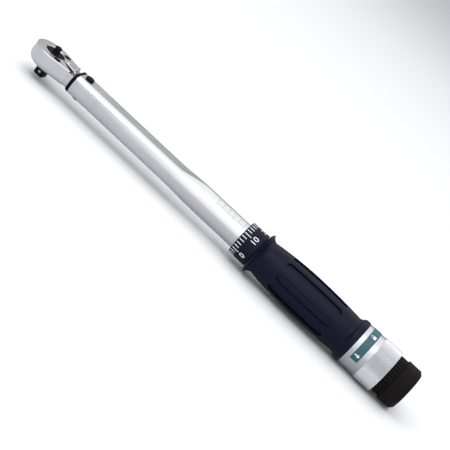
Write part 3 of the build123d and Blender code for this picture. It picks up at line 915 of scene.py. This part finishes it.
@dataclass
class Studio:
    """Plain pale floor, broad lamps overhead and in front, a small key lamp, a graded world."""

    floor_half: float = 9.0
    floor_gap: float = 0.05 * MM
    floor_roughness: float = 0.9
    floor_pale: Colour = (0.86, 0.865, 0.875)
    floor_in_metal: Colour = (0.60, 0.61, 0.65)
    horizon: Colour = (0.27, 0.275, 0.29)
    zenith: Colour = (0.55, 0.56, 0.58)
    zenith_rise: float = 0.8
    lamps: list[Lamp] = field(
        default_factory=lambda: [
            Lamp("overhead", (0.13, 0.12, 0.75), (2.0, 1.5), 8.4),
            Lamp("front", (0.13, -1.0, 0.56), (2.4, 0.64), 6.2),
            Lamp("key", (-0.30, -0.40, 0.65), (0.35, 0.35), 1.6, (0.05, 0.0, 0.0)),
        ]
    )

    def floor(self) -> bpy.types.Object:
        """Make the floor just under the part; metals see it darker than the camera does, a
        painted shade on its reflection.

        Returns:
            The floor.
        """
        low = CAD_BOX[0][2] - self.floor_gap
        half = self.floor_half
        grid = np.array(
            [[[(-half, -half, low), (-half, half, low)], [(half, -half, low), (half, half, low)]]]
        )
        graph = Graph.material("floor_paper")
        # Painted shade on reflections: glossy rays see a darker copy of the floor's colour than
        # the camera does.
        seen = graph.node("ShaderNodeLightPath", {}, {}, "Is Glossy Ray")
        material = graph.surface(
            {
                "Base Color": graph.colour(seen, self.floor_pale, self.floor_in_metal),
                "Roughness": self.floor_roughness,
                "Specular IOR Level": 0.0,
            }
        )
        made = Shape.piece("floor", Shape.mesh("floor", grid), material, smooth=True)
        return made

    def world(self) -> bpy.types.World:
        """Make the world: dim at the horizon, brighter overhead, by the direction's Z.

        Returns:
            The world.
        """
        made = bpy.data.worlds.new("studio")
        graph = Graph(made)
        way = graph.node("ShaderNodeTexCoord", {}, {}, "Generated")
        rise = graph.node("ShaderNodeSeparateXYZ", {}, {0: way}, "Z")
        share = graph.fade(rise, 0.0, self.zenith_rise)
        colour = graph.colour(share, self.horizon, self.zenith)
        light = graph.node("ShaderNodeBackground", {}, {"Color": colour, "Strength": 1.0})
        graph.end("ShaderNodeOutputWorld", light)
        bpy.context.scene.world = made
        return made

    def build(self) -> None:
        """Make the floor, the lamps and the world."""
        self.floor()
        for lamp in self.lamps:
            lamp.build()
        self.world()


SATIN_CHROME = Metal(
    "satin_chrome",
    (0.56, 0.565, 0.575),
    (0.66, 0.665, 0.67),
    0.30,
    Noise.AROUND_TUBE,
    spread=0.10,
    depth=1.2e-6,
)
HEAD_CHROME = Metal(
    "head_chrome",
    (0.60, 0.605, 0.62),
    (0.68, 0.685, 0.69),
    0.30,
    grain_scale=1.5,
    spread=0.04,
    depth=2.0e-7,
)
# The recess under the reversing lever, from the lever's nose to the neck, is coloured near black
# as painted shade.
HEAD_RECESS_SHADED = replace(
    HEAD_CHROME,
    name="head_recess_shaded",
    recess=((6.8 * MM, -7.0 * MM, 3.36 * MM), (15.3 * MM, 7.0 * MM, 4.5 * MM)),
)
BLACK_OXIDE = Metal(
    "black_oxide",
    (0.006, 0.006, 0.010),
    (0.011, 0.011, 0.016),
    0.45,
    grain_scale=4.0,
    metallic=0.0,
    shine=0.04,
)
TOOL_STEEL = Metal("tool_steel", (0.40, 0.40, 0.41), (0.52, 0.52, 0.53), 0.25)
SPRING_STEEL = Metal("spring_steel", (0.22, 0.22, 0.24), (0.32, 0.32, 0.34), 0.32)
BRASS = Metal("brass", (0.70, 0.50, 0.22), (0.80, 0.60, 0.30), 0.28, Noise.AROUND_TUBE)
BARE_ALUMINIUM = Metal(
    "bare_aluminium",
    (0.49, 0.50, 0.52),
    (0.58, 0.59, 0.61),
    0.34,
    Noise.AROUND_TUBE,
    depth=1.5e-6,
)
BLACK_ANODISED = Metal(
    "black_anodised",
    (0.003, 0.0035, 0.013),
    (0.006, 0.007, 0.020),
    0.42,
    Noise.AROUND_TUBE,
    metallic=0.0,
    shine=0.12,
)
KNOB_BLACK = Metal(
    "knob_black",
    (0.006, 0.005, 0.005),
    (0.010, 0.008, 0.008),
    0.45,
    Noise.AROUND_TUBE,
    metallic=0.0,
    shine=0.05,
)
GRIP_RUBBER = Moulded(
    "grip_rubber", (0.002, 0.0024, 0.012), (0.0045, 0.005, 0.020), 0.42, shine=0.13
)
SEAL_RUBBER = Moulded(
    "seal_rubber", (0.003, 0.003, 0.005), (0.006, 0.006, 0.009), 0.50, shine=0.05
)
TEAL_PRINT = Moulded(
    "teal_print",
    (0.008, 0.075, 0.095),
    (0.012, 0.095, 0.115),
    0.35,
    skin_scale=2.0,
    depth=1.0e-6,
)
WHITE_INK = Ink("white_ink", (0.9, 0.9, 0.92))
GREY_INK = Ink("grey_ink", (0.30, 0.30, 0.32))


@dataclass
class Wrench:
    """The finishes of the frame's nodes: one for each material slot, or a node's own."""

    slots: tuple[Metal | Moulded, ...] = (
        SATIN_CHROME,
        BLACK_OXIDE,
        TOOL_STEEL,
        SPRING_STEEL,
        BRASS,
        BARE_ALUMINIUM,
        BLACK_ANODISED,
        KNOB_BLACK,
        GRIP_RUBBER,
        SEAL_RUBBER,
        TEAL_PRINT,
    )
    own: dict[str, Metal] = field(
        default_factory=lambda: {
            "head_housing": HEAD_RECESS_SHADED,
            "cover_plate": HEAD_RECESS_SHADED,
            "reversing_lever": HEAD_CHROME,
        }
    )

    def dress(self) -> None:
        """Give every node of the frame its finish, built once."""
        finishes = {finish.name: finish for finish in self.slots}
        built: dict[str, bpy.types.Material] = {}
        for row in frame["record"]["subparts"]:
            finish = self.own.get(row["node"], finishes[row["material_slot"]])
            if finish.name not in built:
                built[finish.name] = finish.material()
            for slot in frame["nodes"][row["node"]].material_slots:
                slot.material = built[finish.name]
            log.info("dressed %s in %s", row["node"], finish.name)


def main() -> None:
    """Build the looks in order."""
    logging.basicConfig(level=logging.INFO, format="%(name)s: %(message)s")
    Wrench().dress()
    white = WHITE_INK.material()
    ThimbleScale().build(white)
    TubeScale().build(GREY_INK.material())
    LabelPrint().build(white)
    Coil("main_spring", "setting_travel", (1.0, 0.0, 0.0), 20.0 * MM).build()
    Coil("button_spring", "release_press", (0.0, 0.0, 1.0), 1.0 * MM, True).build()
    Camera().build()
    Studio().build()
    bpy.context.scene.view_settings.view_transform = "Standard"


if __name__ == "__main__":
    main()
